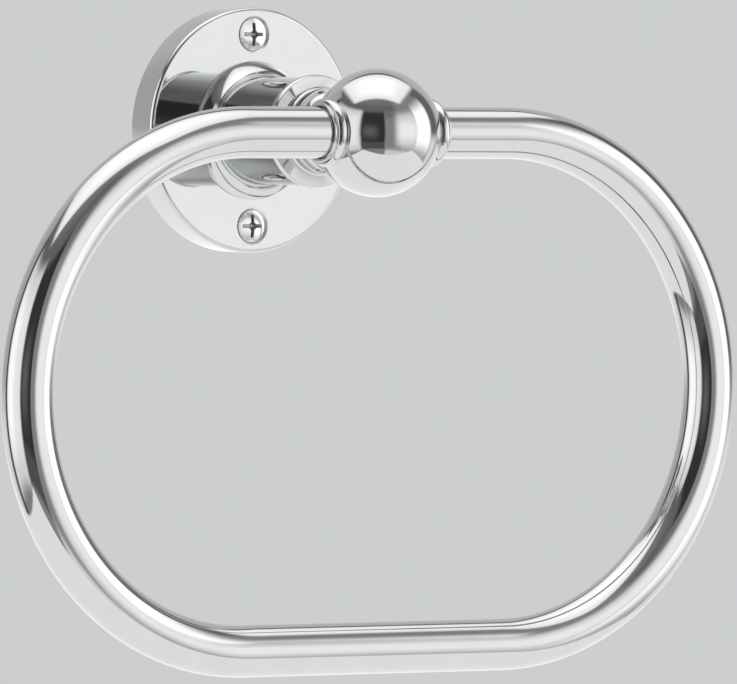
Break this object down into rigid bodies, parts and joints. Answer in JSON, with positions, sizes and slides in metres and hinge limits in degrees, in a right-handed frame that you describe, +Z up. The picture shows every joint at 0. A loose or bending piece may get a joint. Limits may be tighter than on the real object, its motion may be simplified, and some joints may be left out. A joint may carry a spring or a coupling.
{
  "type": "towel ring",
  "caption": "Wall-mounted towel ring: a round screw-fixed plate and a turned post carry a ball, in which an oblong tube ring swings to hold a towel.",
  "frame": {"origin": "centre of the wall plate's back face, on the wall plane", "axes": "+Z up, -Y out of the wall into the room along the post, X along the ring's upper bar"},
  "size_m": [0.204, 0.0957, 0.1537],
  "materials": {
    "polished_chrome": "bright chrome plate on polished brass",
    "chromed_screw": "chrome plate on steel, as formed",
    "zinc_plated_steel": "bright zinc plate on steel"
  },
  "bodies": {
    "bracket": {"wall_plate": "polished_chrome", "wall_screws": "chromed_screw", "post": "polished_chrome", "post_screw": "zinc_plated_steel", "ball": "polished_chrome", "ball_stud": "zinc_plated_steel"},
    "ring": {"ring": "polished_chrome"}
  },
  "joints": [
    {"name": "ring_swing", "type": "hinge", "parent": "bracket", "child": "ring", "pos_m": [0, -0.059, 0], "axis": [-1, 0, 0], "range_deg": [-26, 206]}
  ]
}
